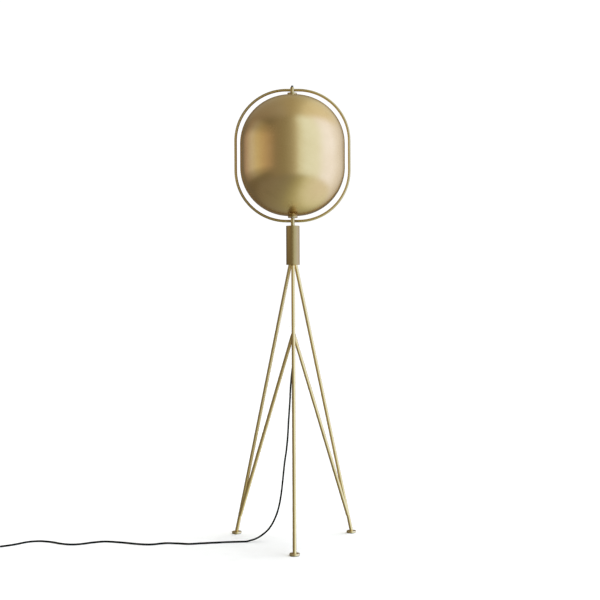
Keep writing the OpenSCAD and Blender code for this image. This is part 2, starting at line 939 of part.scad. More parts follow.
// Outline of the plug from above: body, shoulders and neck
module plug_outline() {
    corner = 3;
    translate([0, plug_l / 2]) square([plug_w, plug_l - 2 * corner], center = true);
    translate([0, plug_l / 2]) square([plug_w - 2 * corner, plug_l], center = true);
    for (x = [-1, 1], y = [corner, plug_l - corner])
        translate([x * (plug_w / 2 - corner), y]) circle(r = corner);
    polygon([[-plug_neck_w / 2, -plug_neck_l], [plug_neck_w / 2, -plug_neck_l],
             [plug_w / 2 - corner, 0.5], [corner - plug_w / 2, 0.5]]);
}

// Moulded two-pin plug that lies flat beside the coil, its pins pointing along +Y
module plug_body() {
    color(BLACK)
        translate([PLUG_X, PLUG_Y, 0]) {
            linear_extrude(plug_t) plug_outline();
            translate([0, -plug_neck_l + 1, plug_z])
                rotate([90, 0, 0])
                    cylinder(d1 = plug_tail_d, d2 = plug_tip_d, h = plug_tail_l + 1);
        }
}

module plug_pins() {
    color("silver")
        for (side = [-1, 1])
            translate([PLUG_X + side * prong_space / 2, PLUG_Y + plug_l, plug_z])
                rotate([-90, 0, 0]) {
                    cylinder(d = prong_d, h = prong_l - prong_d / 2);
                    translate([0, 0, prong_l - prong_d / 2]) sphere(d = prong_d);
                }
}

// ---------- drawing ----------

foot_front();
foot_left();
foot_right();
foot_pads();
foot_screws();
leg_front();
leg_left();
leg_right();
brace_front();
brace_left();
brace_right();
leg_studs();
brace_hub();
centre_tube();
tube_nut();
cord_relief();
column_shell();
column_base();
column_cap();
column_screws();
block_strap();
terminal_block();
terminal_screws();
tube_lead();
stem_lead();
stem_tube();
stem_washer();
stem_nut();
lower_sleeve();
upper_sleeve();
ring_left();
ring_right();
thrust_washer();
upper_washer();
retaining_washer();
retaining_nut();
shade_shell();
diffuser();
seam_band();
seam_screws();
lower_collar();
upper_collar();
lower_ring_nut();
upper_ring_nut();
pivot_pin();
pivot_nut();
holder_cap();
holder_skirt();
contact_block();
bulb_cap();
bulb_glass();
cord_tube();
cord_tail();
cord_coil();
cord_tie();
switch_body();
switch_button();
plug_body();
plug_pins();
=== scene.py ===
"""Tripod floor lamp: the looks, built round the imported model. Metres, +Z up, origin on the floor
under the column. The camera, the flex and the studio come first, then the pieces and materials."""
import json
import math

import bmesh
import bpy
from mathutils import Matrix, Vector


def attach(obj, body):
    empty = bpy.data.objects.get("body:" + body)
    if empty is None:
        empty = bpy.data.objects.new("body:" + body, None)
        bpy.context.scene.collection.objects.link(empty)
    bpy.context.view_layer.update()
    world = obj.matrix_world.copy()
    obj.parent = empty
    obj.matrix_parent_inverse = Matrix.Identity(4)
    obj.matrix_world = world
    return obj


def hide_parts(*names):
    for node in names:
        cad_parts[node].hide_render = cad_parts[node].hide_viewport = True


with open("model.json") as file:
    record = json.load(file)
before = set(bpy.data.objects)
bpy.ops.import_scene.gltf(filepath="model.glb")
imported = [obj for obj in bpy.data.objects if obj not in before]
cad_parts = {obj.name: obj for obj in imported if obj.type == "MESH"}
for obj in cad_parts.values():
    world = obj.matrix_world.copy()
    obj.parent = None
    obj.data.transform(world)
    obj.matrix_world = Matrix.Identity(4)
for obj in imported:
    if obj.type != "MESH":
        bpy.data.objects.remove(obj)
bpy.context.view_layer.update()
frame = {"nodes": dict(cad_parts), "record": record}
scene = bpy.context.scene
nodes = frame["nodes"]
MM = 0.001


# ---------------------------------------------------------------- small helpers

def link(obj):
    scene.collection.objects.link(obj)
    return obj


def mesh_object(name, bm, material, angle=35):
    """A piece from a bmesh: outward normals, smooth faces, sharp only past `angle` degrees."""
    bmesh.ops.remove_doubles(bm, verts=bm.verts, dist=1e-6)
    bmesh.ops.recalc_face_normals(bm, faces=bm.faces)
    mesh = bpy.data.meshes.new(name)
    bm.to_mesh(mesh)
    bm.free()
    mesh.shade_smooth()
    mesh.set_sharp_from_angle(angle=math.radians(angle))
    mesh.materials.append(material)
    return link(bpy.data.objects.new(name, mesh))


def place(obj, body, slot, *replaced):
    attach(obj, body)
    if replaced:
        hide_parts(*replaced)
    return obj


def loft(name, loops, material, closed=False, angle=35):
    """A piece through loops of equal length, in millimetres: capped at both ends, or `closed` on itself."""
    bm = bmesh.new()
    rows = [[bm.verts.new(Vector(p) * MM) for p in loop] for loop in loops]
    pairs = list(zip(rows, rows[1:]))
    if closed:
        pairs.append((rows[-1], rows[0]))
    else:
        bm.faces.new(rows[0])
        bm.faces.new(rows[-1])
    for low, high in pairs:
        for j in range(len(low)):
            k = (j + 1) % len(low)
            bm.faces.new((low[j], low[k], high[k], high[j]))
    return mesh_object(name, bm, material, angle)


def eased(outline, radius, steps=3):
    """A closed outline with its corners rounded, each by `radius` or half of its shorter side."""
    out = []
    for i, corner in enumerate(outline):
        here = Vector(corner)
        before, after = Vector(outline[i - 1]) - here, Vector(outline[(i + 1) % len(outline)]) - here
        cut = min(radius, before.length / 2, after.length / 2)
        a, b = here + before.normalized() * cut, here + after.normalized() * cut
        for k in range(steps + 1):
            t = k / steps
            out.append(a * (1 - t) ** 2 + here * 2 * t * (1 - t) + b * t ** 2)
    return out


def turned(name, outline, material, at=(0, 0, 0), turn=None, steps=96):
    """A lathe-turned piece from a closed outline of (radius, height) points."""
    turn = turn or Matrix.Identity(3)
    loops = []
    for i in range(steps):
        a = 2 * math.pi * i / steps
        loops.append([Vector(at) + turn @ Vector((r * math.cos(a), r * math.sin(a), z)) for r, z in outline])
    return loft(name, loops, material, closed=True)


# ---------------------------------------------------------------- camera

CAM_AT = (-0.0162, -3.739, 0.803)
CAM_PITCH, CAM_ROLL, CAM_TURN = 90, 0.26, -0.6
cam_data = bpy.data.cameras.new("camera")
cam_data.sensor_width = 36
cam_data.lens = 67.06
cam_data.clip_end = 100
camera = link(bpy.data.objects.new("camera", cam_data))
camera.location = CAM_AT
camera.rotation_euler = tuple(math.radians(a) for a in (CAM_PITCH, CAM_ROLL, CAM_TURN))
scene.camera = camera


# ---------------------------------------------------------------- the flex's route, as in the part

# The points from (-6, -1, 555) to (-948, -74, 0) were traced from a photograph by a program, thinned
# out and rounded. They weren't chosen by hand.
CORD_R = 3.0
FLOOR_Z = CORD_R + 0.1
EXIT_Z = 617.0
SWITCH_X, SWITCH_Y, ENTRY_Z, SWITCH_END = -1045.0, -96.0, 6.5, 45.0
COIL_X, COIL_Y, COIL_LIFT = -1134.0, -55.0, 0.9
COIL_OUT, COIL_IN = 40.9, 25.1
PLUG_X, PLUG_Y, PLUG_Z = COIL_X - 41, COIL_Y + 60, 6.85
PLUG_TIP = PLUG_Y - 32

ROUTE = [
    (0, 0, EXIT_Z), (0, 0, 605), (-2, 0, 585), (-6, -1, 555), (-10, -2, 510), (-13, -3, 455),
    (-17, -4, 400), (-20, -4, 350), (-25, -5, 300), (-31, -6, 260), (-37, -7, 205),
    (-43, -8, 155), (-51, -10, 113), (-62, -12, 80), (-78, -16, 50), (-98, -20, 29),
    (-123, -25, 13), (-150, -30, 5), (-180, -33, 0), (-220, -37, 0), (-262, -45, 0),
    (-300, -52, 0), (-345, -62, 0), (-382, -53, 0), (-425, -48, 0), (-472, -66, 0),
    (-515, -57, 0), (-560, -37, 0), (-598, -23, 0), (-632, -16, 0), (-667, -29, 0),
    (-700, -50, 0), (-733, -58, 0), (-770, -44, 0), (-808, -17, 0), (-848, -3, 0),
    (-885, -14, 0), (-919, -51, 0), (-948, -74, 0), (-975, -90, 4),
    (-992, SWITCH_Y, ENTRY_Z), (SWITCH_X + SWITCH_END, SWITCH_Y, ENTRY_Z),
]


def catmull(points, steps):
    """Points of a smooth curve through `points`, kept off the floor."""
    out = []
    for i in range(len(points) - 1):
        a, b, c, d = (Vector(points[max(0, min(j, len(points) - 1))]) for j in range(i - 1, i + 3))
        for k in range(steps):
            t = k / steps
            p = 0.5 * ((2 * b) + (c - a) * t + (2 * a - 5 * b + 4 * c - d) * t * t
                       + (3 * b - a - 3 * c + d) * t ** 3)
            out.append(p)
    out.append(Vector(points[-1]))
    for p in out:
        p.z = max(p.z, FLOOR_Z)
    return out


def coil_points():
    """Two flat layers of turns: inwards on the floor, then outwards on top of them."""
    low, high = COIL_LIFT + CORD_R, COIL_LIFT + 3 * CORD_R
    turns = (COIL_OUT - COIL_IN) / (2 * CORD_R)
    steps = 95
    points = []
    for layer in (0, 1):
        for i in range(steps + (1 if layer else 0)):
            s = i / steps
            r = COIL_OUT + (COIL_IN - COIL_OUT) * (s if layer == 0 else 1 - s)
            angle = math.radians(-90 - 360 * turns * (s + layer))
            rise = min(max((s - 0.92) / 0.08, 0), 1) if layer == 0 else 1
            rise = rise * rise * (3 - 2 * rise)
            points.append(Vector((COIL_X + r * math.cos(angle), COIL_Y + r * math.sin(angle),
                                  low + (high - low) * rise)))
    return points


into_coil = [(SWITCH_X - SWITCH_END, SWITCH_Y, ENTRY_Z), (SWITCH_X - SWITCH_END - 6, SWITCH_Y, ENTRY_Z),
             (COIL_X + 26, SWITCH_Y, 4.5), (COIL_X + 10, SWITCH_Y, COIL_LIFT + CORD_R)]
out_of_coil = [(PLUG_X, COIL_Y + 6, COIL_LIFT + 3 * CORD_R),
               (PLUG_X, COIL_Y + 20, COIL_LIFT + 3 * CORD_R - 1.5),
               (PLUG_X, PLUG_TIP - 3, PLUG_Z), (PLUG_X, PLUG_TIP, PLUG_Z)]
cord_path = (catmull(ROUTE, 8) + catmull(into_coil, 4) + coil_points() + catmull(out_of_coil, 4)
             + [Vector((PLUG_X, PLUG_TIP + 15, PLUG_Z))])
cord_path = [p * MM for p in cord_path]

# ---------------------------------------------------------------- studio

world = bpy.data.worlds.new("studio")
scene.world = world
world.use_nodes = True
wt = world.node_tree
wt.nodes.clear()


def wnode(kind, **props):
    n = wt.nodes.new(kind)
    for k, v in props.items():
        setattr(n, k, v)
    return n


def ramp(tree, stops, interpolation="LINEAR"):
    """A colour ramp from (position, (r, g, b)) stops."""
    n = tree.nodes.new("ShaderNodeValToRGB")
    n.color_ramp.interpolation = interpolation
    elements = n.color_ramp.elements
    while len(elements) < len(stops):
        elements.new(0.5)
    for e, (p, c) in zip(elements, sorted(stops)):
        e.position = p
        e.color = (*c, 1)
    return n


def azimuth_ramp(stops):
    """Stops given as (degrees to the right of the camera, colour)."""
    return ramp(wt, [(a / 360 + 0.5, c) for a, c in stops])


# What surrounds the lamp: a large soft box to the right and a dim warm room on the left. The colours of
# this surround and of the card are fitted, with the brass tones, to how the metal looks in one photograph
# from the front. They aren't a measured studio, and another light will show the metal differently.
LEVEL = [
    (-180, (0.12, 0.10, 0.08)), (-150, (0.16, 0.14, 0.11)), (-60, (0.20, 0.18, 0.13)),
    (-40, (0.27, 0.24, 0.18)), (-18, (0.29, 0.27, 0.19)), (0, (0.40, 0.39, 0.30)),
    (8, (0.55, 0.56, 0.45)), (14, (0.78, 0.88, 0.86)), (30, (0.92, 1.12, 1.32)),
    (56, (0.94, 1.12, 1.32)), (75, (1.06, 1.22, 1.80)), (95, (1.08, 1.23, 1.80)),
    (120, (0.90, 0.98, 1.25)), (145, (0.66, 0.66, 0.70)), (160, (0.50, 0.48, 0.42)),
    (180, (0.12, 0.10, 0.08)),
]
# overhead and underfoot the light grows from left to right
ABOVE = [
    (-1.0, (0.24, 0.19, 0.15)), (-0.3, (0.345, 0.325, 0.275)), (0.0, (0.40, 0.37, 0.26)),
    (0.19, (0.535, 0.535, 0.42)), (0.32, (0.72, 0.73, 0.62)), (1.0, (0.90, 0.90, 0.88)),
]
BELOW = [
    (0.10, (0.22, 0.20, 0.17)), (0.22, (0.24, 0.22, 0.18)), (0.40, (0.26, 0.25, 0.20)),
    (0.52, (0.30, 0.30, 0.23)), (0.60, (0.37, 0.38, 0.26)), (0.69, (0.49, 0.52, 0.37)),
    (0.77, (0.68, 0.74, 0.63)), (0.84, (0.78, 0.86, 0.84)), (0.94, (0.84, 0.89, 0.95)),
]
# where one zone of the surround gives way to the next, on the height or depth of the direction
BELOW_END, SIDES_START = -0.58, -0.36
SIDES_END, ABOVE_START = 0.50, 0.82
DIM_START, DIM_FULL = 0.74, 0.94
DIM = (0.19, 0.16, 0.12)
# how much each zone's edge tips towards the back, and how the light underfoot grows: to the right and down
SIDES_TIP, ABOVE_TIP = 0.07, 0.37
BELOW_RIGHT, BELOW_UP, BELOW_PLUS = 0.48, -0.29, 0.38
coord = wnode("ShaderNodeTexCoord")
split = wnode("ShaderNodeSeparateXYZ")
wt.links.new(coord.outputs["Generated"], split.inputs[0])


def weighted(x, y, z, plus=0.0):
    """The direction's x, y and z, each times its weight, plus a number."""
    total = None
    for name, weight in (("X", x), ("Y", y), ("Z", z)):
        m = wnode("ShaderNodeMath", operation="MULTIPLY_ADD")
        m.inputs[1].default_value = weight
        m.inputs[2].default_value = plus
        wt.links.new(split.outputs[name], m.inputs[0])
        if total is not None:
            wt.links.new(total, m.inputs[2])
        total = m.outputs[0]
    return total


azimuth = wnode("ShaderNodeMath", operation="ARCTAN2")
wt.links.new(split.outputs["X"], azimuth.inputs[0])
wt.links.new(weighted(0, -1, 0), azimuth.inputs[1])
turn = wnode("ShaderNodeMath", operation="MULTIPLY_ADD")
turn.inputs[1].default_value = 1 / (2 * math.pi)
turn.inputs[2].default_value = 0.5
wt.links.new(azimuth.outputs[0], turn.inputs[0])
level = azimuth_ramp(LEVEL)
wt.links.new(turn.outputs[0], level.inputs[0])
above = ramp(wt, [(x / 2 + 0.5, c) for x, c in ABOVE])
wt.links.new(weighted(0.5, 0, 0, 0.5), above.inputs[0])
below = ramp(wt, BELOW)
wt.links.new(weighted(BELOW_RIGHT, 0, BELOW_UP, BELOW_PLUS), below.inputs[0])


def blend(value, low, high, under, over):
    """Mix two colours as `value` goes from `low` to `high`."""
    m = wnode("ShaderNodeMapRange", interpolation_type="SMOOTHSTEP")
    m.inputs["From Min"].default_value = low
    m.inputs["From Max"].default_value = high
    wt.links.new(value, m.inputs["Value"])
    x = wnode("ShaderNodeMix", data_type="RGBA")
    wt.links.new(m.outputs[0], x.inputs["Factor"])
    wt.links.new(under, x.inputs["A"])
    wt.links.new(over, x.inputs["B"])
    return x.outputs["Result"]


sides = blend(weighted(0, SIDES_TIP, 1), BELOW_END, SIDES_START, below.outputs[0], level.outputs[0])
around = blend(weighted(0, ABOVE_TIP, 1), SIDES_END, ABOVE_START, sides, above.outputs[0])
# the room behind the lamp is dim, which draws a dark line along the metal's outline
dim = wnode("ShaderNodeRGB")
dim.outputs[0].default_value = (*DIM, 1)
around = blend(weighted(0, 1, 0), DIM_START, DIM_FULL, around, dim.outputs[0])
room_light = wnode("ShaderNodeBackground")
wt.links.new(around, room_light.inputs["Color"])
white = wnode("ShaderNodeBackground")
white.inputs["Color"].default_value = (1, 1, 1, 1)
white.inputs["Strength"].default_value = 1.05
rays = wnode("ShaderNodeLightPath")
pick = wnode("ShaderNodeMixShader")
wt.links.new(rays.outputs["Is Camera Ray"], pick.inputs[0])
wt.links.new(room_light.outputs[0], pick.inputs[1])
wt.links.new(white.outputs[0], pick.inputs[2])
wout = wnode("ShaderNodeOutputWorld")
wt.links.new(pick.outputs[0], wout.inputs["Surface"])

scene.view_settings.view_transform = "Standard"
scene.view_settings.look = "None"


# one soft overhead light: it whitens the floor and leaves faint shadows. The metal mirrors the
# room, so neither this light nor the floor shows in its gloss.
sun_data = bpy.data.lights.new("soft_overhead", "SUN")
sun_data.energy = 2.6
sun_data.angle = math.radians(40)
sun = link(bpy.data.objects.new("soft_overhead", sun_data))
sun.rotation_euler = (math.radians(-8), math.radians(12), 0)
sun.visible_glossy = False

# a tall light card to the left, level with the shade: palest near the middle, warm towards the front
# and soft at every edge
CARD_X, CARD_FRONT, CARD_BACK, CARD_LOW, CARD_TOP = -0.9, -1.6, 0.8, 0.9, 2.4
CARD_COLOUR = [
    (0.13, (0.31, 0.26, 0.19)), (0.32, (0.45, 0.36, 0.27)), (0.46, (0.58, 0.48, 0.33)),
    (0.57, (0.65, 0.60, 0.41)), (0.67, (0.65, 0.64, 0.61)), (0.83, (0.43, 0.34, 0.30)),
    (1.00, (0.28, 0.23, 0.19)),
]
CARD_ACROSS = [(0.0, (0, 0, 0)), (0.30, (1, 1, 1)), (0.84, (1, 1, 1)), (1.0, (0, 0, 0))]
CARD_UP = [(0.0, (0, 0, 0)), (0.12, (0.5, 0.5, 0.5)), (0.22, (1, 1, 1)), (0.42, (1, 1, 1)),
           (0.60, (0.45, 0.45, 0.45)), (0.85, (0, 0, 0))]
card_mat = bpy.data.materials.new("light_card")
card_mat.use_nodes = True
ct = card_mat.node_tree
ct.nodes.clear()
card_at = ct.nodes.new("ShaderNodeSeparateXYZ")
ct.links.new(ct.nodes.new("ShaderNodeTexCoord").outputs["Generated"], card_at.inputs[0])
glow = ct.nodes.new("ShaderNodeEmission")
card_colour = ramp(ct, CARD_COLOUR)
ct.links.new(card_at.outputs["Y"], card_colour.inputs[0])
ct.links.new(card_colour.outputs[0], glow.inputs["Color"])
mask = ct.nodes.new("ShaderNodeMath")
mask.operation = "MULTIPLY"
for axis, stops, socket in (("Y", CARD_ACROSS, 0), ("Z", CARD_UP, 1)):
    fade = ramp(ct, stops, "EASE")
    ct.links.new(card_at.outputs[axis], fade.inputs[0])
    ct.links.new(fade.outputs[0], mask.inputs[socket])
shown = ct.nodes.new("ShaderNodeMixShader")
ct.links.new(mask.outputs[0], shown.inputs[0])
ct.links.new(ct.nodes.new("ShaderNodeBsdfTransparent").outputs[0], shown.inputs[1])
ct.links.new(glow.outputs[0], shown.inputs[2])
ct.links.new(shown.outputs[0], ct.nodes.new("ShaderNodeOutputMaterial").inputs["Surface"])
bm = bmesh.new()
bm.faces.new([bm.verts.new((CARD_X, y, z)) for y, z in (
    (CARD_FRONT, CARD_LOW), (CARD_BACK, CARD_LOW), (CARD_BACK, CARD_TOP), (CARD_FRONT, CARD_TOP))])
card = mesh_object("light_card", bm, card_mat)
card.visible_camera = False
card.visible_diffuse = False
card.visible_shadow = False

bm = bmesh.new()
bmesh.ops.create_grid(bm, x_segments=2, y_segments=2, size=30)
floor_mat = bpy.data.materials.new("floor")
floor_mat.use_nodes = True
fp = floor_mat.node_tree.nodes["Principled BSDF"]
fp.inputs["Roughness"].default_value = 0.9
fp.inputs["Specular IOR Level"].default_value = 0.1
ft = floor_mat.node_tree
f_noise = ft.nodes.new("ShaderNodeTexNoise")
f_noise.inputs["Scale"].default_value = 900
f_ramp = ramp(ft, [(0.0, (0.86, 0.86, 0.86)), (1.0, (0.93, 0.93, 0.93))])
ft.links.new(f_noise.outputs["Fac"], f_ramp.inputs[0])
ft.links.new(f_ramp.outputs[0], fp.inputs["Base Color"])
floor = mesh_object("floor", bm, floor_mat)
floor.visible_glossy = False


# ---------------------------------------------------------------- materials

def material(name):
    mat = bpy.data.materials.new(name)
    mat.use_nodes = True
    tree = mat.node_tree
    return mat, tree, tree.nodes["Principled BSDF"]


def tree_node(tree, kind, **props):
    n = tree.nodes.new(kind)
    for k, v in props.items():
        setattr(n, k, v)
    return n


def noise(tree, vector, scale, detail=4, rough=0.55):
    n = tree_node(tree, "ShaderNodeTexNoise")
    n.inputs["Scale"].default_value = scale
    n.inputs["Detail"].default_value = detail
    n.inputs["Roughness"].default_value = rough
    tree.links.new(vector, n.inputs["Vector"])
    return n.outputs["Fac"]


def stretched(tree, vector, scale):
    m = tree_node(tree, "ShaderNodeMapping")
    m.inputs["Scale"].default_value = scale
    tree.links.new(vector, m.inputs["Vector"])
    return m.outputs["Vector"]


def to_range(tree, value, low, high, new_low, new_high):
    m = tree_node(tree, "ShaderNodeMapRange")
    for k, v in (("From Min", low), ("From Max", high), ("To Min", new_low), ("To Max", new_high)):
        m.inputs[k].default_value = v
    tree.links.new(value, m.inputs["Value"])
    return m.outputs[0]


def bump(tree, height, strength, distance):
    b = tree_node(tree, "ShaderNodeBump")
    b.inputs["Strength"].default_value = strength
    b.inputs["Distance"].default_value = distance
    tree.links.new(height, b.inputs["Height"])
    return b.outputs["Normal"]


def mixed(tree, factor, a, b):
    """Colour `a` towards colour `b` by `factor`; either may be a socket or three numbers."""
    m = tree_node(tree, "ShaderNodeMix", data_type="RGBA")
    tree.links.new(factor, m.inputs["Factor"])
    for key, colour in (("A", a), ("B", b)):
        if isinstance(colour, tuple):
            m.inputs[key].default_value = (*colour, 1)
        else:
            tree.links.new(colour, m.inputs[key])
    return m.outputs["Result"]


def brass(name, tone, grain, rough, aniso=0.0, dents=0.0, tarnished=0.2):
    """Lacquered brass of base colour `tone`: drawn or turned lines, cloudy tarnish, bright worn edges.

    `grain` stretches the lines' noise, in cycles a metre along X, Y and Z; `tarnished` is how far
    the small spots darken."""
    mat, tree, p = material(name)
    p.inputs["Metallic"].default_value = 1
    coords = tree_node(tree, "ShaderNodeTexCoord").outputs["Object"]
    lines = noise(tree, stretched(tree, coords, grain), 1.0, 5, 0.6)
    clouds = noise(tree, coords, 7.0, 4)
    spots = noise(tree, coords, 130.0, 5, 0.7)
    aged = tuple(c * f for c, f in zip(tone, (0.93, 0.90, 0.84)))
    worn = tuple(min(c * f, 0.97) for c, f in zip(tone, (1.06, 1.10, 1.22)))
    colour = mixed(tree, to_range(tree, clouds, 0.35, 0.65, 0, 1), tone, aged)
    tarnish = tuple(c * f for c, f in zip(tone, (0.78, 0.70, 0.58)))
    colour = mixed(tree, to_range(tree, spots, 0.60, 0.80, 0, tarnished), colour, tarnish)
    edge = tree_node(tree, "ShaderNodeNewGeometry").outputs["Pointiness"]
    colour = mixed(tree, to_range(tree, edge, 0.53, 0.60, 0, 0.7), colour, worn)
    tree.links.new(colour, p.inputs["Base Color"])
    total = to_range(tree, lines, 0.3, 0.7, rough - 0.03, rough + 0.04)
    for value, low, high in ((clouds, -0.02, 0.03), (spots, -0.01, 0.03)):
        add = tree_node(tree, "ShaderNodeMath", operation="ADD")
        tree.links.new(total, add.inputs[0])
        tree.links.new(to_range(tree, value, 0.35, 0.65, low, high), add.inputs[1])
        total = add.outputs[0]
    tree.links.new(total, p.inputs["Roughness"])
    fine = bump(tree, lines, 0.10, 0.00005)
    if dents:
        broad = tree_node(tree, "ShaderNodeBump")
        broad.inputs["Strength"].default_value = 1.0
        broad.inputs["Distance"].default_value = dents * MM
        tree.links.new(noise(tree, coords, 11.0, 1), broad.inputs["Height"])
        tree.links.new(fine, broad.inputs["Normal"])
        fine = broad.outputs["Normal"]
    tree.links.new(fine, p.inputs["Normal"])
    if aniso:
        p.inputs["Anisotropic"].default_value = aniso
        t = tree_node(tree, "ShaderNodeTangent", direction_type="RADIAL", axis="Z")
        tree.links.new(t.outputs[0], p.inputs["Tangent"])
    return mat


def plain(name, colour_a, colour_b, rough, metallic=0.0, scale=300.0, bump_mm=0.02, spec=0.5):
    """A moulded, rubbed or plated surface: fine grain in colour, gloss and height."""
    mat, tree, p = material(name)
    p.inputs["Metallic"].default_value = metallic
    p.inputs["Specular IOR Level"].default_value = spec
    coords = tree_node(tree, "ShaderNodeTexCoord").outputs["Object"]
    fine = noise(tree, coords, scale, 5)
    broad = noise(tree, coords, scale / 14, 3)
    colour = ramp(tree, [(0.3, colour_a), (0.7, colour_b)])
    tree.links.new(broad, colour.inputs[0])
    tree.links.new(colour.outputs[0], p.inputs["Base Color"])
    tree.links.new(to_range(tree, fine, 0.3, 0.7, rough - 0.05, rough + 0.06), p.inputs["Roughness"])
    tree.links.new(bump(tree, fine, 0.35, bump_mm * MM), p.inputs["Normal"])
    return mat


brass_spun = brass("brass_spun", (0.83, 0.63, 0.34), (4, 4, 1500), rough=0.20, aniso=0.35, dents=0.12,
                   tarnished=0.35)
# the collars' and other small turned parts' brass: darker than the shade's, as painted shade
brass_turned_shaded = brass("brass_turned_shaded", (0.52, 0.40, 0.21), (20, 20, 1600), rough=0.22, aniso=0.3)
# the column's brass: much darker than the shade's, as painted shade
brass_column_shaded = brass("brass_column_shaded", (0.47, 0.335, 0.145), (14, 14, 1400), rough=0.33, aniso=0.3)
brass_rod = brass("brass_rod", (0.80, 0.62, 0.30), (1900, 1900, 1500), rough=0.15)
# the feet's brass: paler than the shade's, as painted light in place of the pale floor they would mirror
brass_foot_lit = brass("brass_foot_lit", (0.88, 0.74, 0.46), (40, 40, 1500), rough=0.24)
# the ring's, sleeves' and hub's brass: darker than the shade's, as painted shade
brass_ring_shaded = brass("brass_ring_shaded", (0.63, 0.50, 0.26), (1700, 1900, 1700), rough=0.15)
steel_dark = plain("steel_dark", (0.10, 0.10, 0.105), (0.16, 0.16, 0.16), 0.38, metallic=1.0, scale=700)
steel_zinc = plain("steel_zinc", (0.55, 0.55, 0.56), (0.66, 0.66, 0.68), 0.3, metallic=1.0, scale=900)
pin_nickel = plain("pin_nickel", (0.66, 0.64, 0.60), (0.74, 0.72, 0.68), 0.2, metallic=1.0, scale=900)
rubber = plain("rubber_black", (0.02, 0.02, 0.02), (0.035, 0.035, 0.034), 0.85, scale=1200)
plastic_black = plain("plastic_black", (0.010, 0.010, 0.011), (0.018, 0.018, 0.019), 0.45, scale=1500,
                      spec=0.3)
plastic_grey = plain("plastic_grey", (0.05, 0.05, 0.054), (0.075, 0.075, 0.08), 0.45, scale=1500)
flex_black = plain("flex_black", (0.006, 0.006, 0.006), (0.011, 0.011, 0.011), 0.6, scale=1100, spec=0.06)
nylon = plain("nylon_white", (0.72, 0.70, 0.64), (0.80, 0.78, 0.72), 0.5, scale=900)
ceramic = plain("ceramic_white", (0.80, 0.78, 0.73), (0.85, 0.83, 0.79), 0.2, scale=500)
opal = plain("opal_acrylic", (0.68, 0.66, 0.61), (0.74, 0.72, 0.67), 0.32, scale=260, bump_mm=0.01)
glass_opal = plain("glass_opal", (0.88, 0.87, 0.84), (0.93, 0.92, 0.90), 0.15, scale=120, bump_mm=0.01)

by_slot = {
    "brass_satin": brass_turned_shaded, "steel_dark": steel_dark, "steel_zinc": steel_zinc,
    "pin_nickel": pin_nickel, "rubber_black": rubber, "plastic_black": plastic_black,
    "plastic_grey": plastic_grey, "flex_black": flex_black, "nylon_white": nylon,
    "ceramic_white": ceramic, "opal_acrylic": opal, "glass_opal": glass_opal,
}
special = {"shade_shell": brass_spun, "column_shell": brass_column_shaded, "column_base": brass_column_shaded,
           "column_cap": brass_column_shaded}
for name in ("leg_front", "leg_left", "leg_right", "brace_front", "brace_left", "brace_right", "centre_tube"):
    special[name] = brass_rod
for name in ("ring_left", "ring_right", "lower_sleeve", "upper_sleeve", "brace_hub"):
    special[name] = brass_ring_shaded
slot_of = {s["node"]: s["material_slot"] for s in frame["record"]["subparts"]}
for name, obj in nodes.items():
    obj.data.materials.clear()
    obj.data.materials.append(special.get(name, by_slot[slot_of[name]]))


# ---------------------------------------------------------------- feet, sleeves

FOOT_CIRCLE, FOOT_R, FOOT_LOW, FOOT_TOP = 228.0, 16.25, 1.5, 7.5
FOOT_HOLE_R, FOOT_EASE, GROOVE_DEPTH = 2.2, 0.9, 0.25
for side, angle in (("front", -90), ("right", 30), ("left", 150)):
    a = math.radians(angle)
    rim = eased([(FOOT_HOLE_R, FOOT_LOW), (FOOT_R, FOOT_LOW), (FOOT_R, 3.0), (FOOT_R - GROOVE_DEPTH, 3.3),
                 (FOOT_R - GROOVE_DEPTH, 3.6), (FOOT_R, 3.9), (FOOT_R, FOOT_TOP), (FOOT_HOLE_R, FOOT_TOP)],
                FOOT_EASE)
    foot = turned("foot_disc_" + side, rim, brass_foot_lit,
                  (FOOT_CIRCLE * math.cos(a), FOOT_CIRCLE * math.sin(a), 0), steps=72)
    place(foot, "stand", "brass_satin", "foot_" + side)


# (name, body, material, outline): each outline runs from the bore outwards and back, its edges eased
RIM_EASE = 0.5
STEM_BORE_R, PIN_BORE_R, FLANGE_R, NECK_R, SLEEVE_R = 5.05, 4.05, 16, 10, 6.5
round_parts = [
    ("lower_collar", "shade", brass_turned_shaded,
     [(STEM_BORE_R, 1078), (FLANGE_R, 1078), (FLANGE_R, 1084.5), (NECK_R, 1084.5), (NECK_R, 1096.5),
      (STEM_BORE_R, 1096.5)]),
    ("upper_collar", "shade", brass_turned_shaded,
     [(PIN_BORE_R, 1495.5), (PIN_BORE_R, 1475.5), (NECK_R, 1475.5), (NECK_R, 1487.5), (FLANGE_R, 1487.5),
      (FLANGE_R, 1495.5)]),
    ("lower_sleeve", "stand", brass_ring_shaded,
     [(STEM_BORE_R, 1051), (SLEEVE_R, 1051), (SLEEVE_R, 1077), (STEM_BORE_R, 1077)]),
    ("upper_sleeve", "stand", brass_ring_shaded,
     [(PIN_BORE_R, 1496.6), (SLEEVE_R, 1496.6), (SLEEVE_R, 1514.5), (PIN_BORE_R, 1514.5)]),
]
for name, body, finish, outline in round_parts:
    place(turned("turned_" + name, eased(outline, RIM_EASE), finish), body, "brass_satin", name)


# ---------------------------------------------------------------- shade

CENTRE_Z, SHADE_R, HALF_H, DOME_R, WALL, SEAM_Y, HOLE_R = 1286.0, 175.0, 201.5, 163.5, 1.2, 45.0, 10.1


def dome_profile(inset, steps=40):
    """(radius, height) of the shade's form from its lower hole to its upper one, in by `inset`."""
    flat, straight, r = SHADE_R - DOME_R, HALF_H - DOME_R, DOME_R - inset
    angles = [math.pi / 2 * k / steps for k in range(steps + 1)]
    quarter = [(flat + r * math.sin(a), -straight - r * math.cos(a)) for a in angles]
    lower = [(HOLE_R, -HALF_H + inset)] + quarter
    return lower + [(x, -z) for x, z in reversed(lower)]


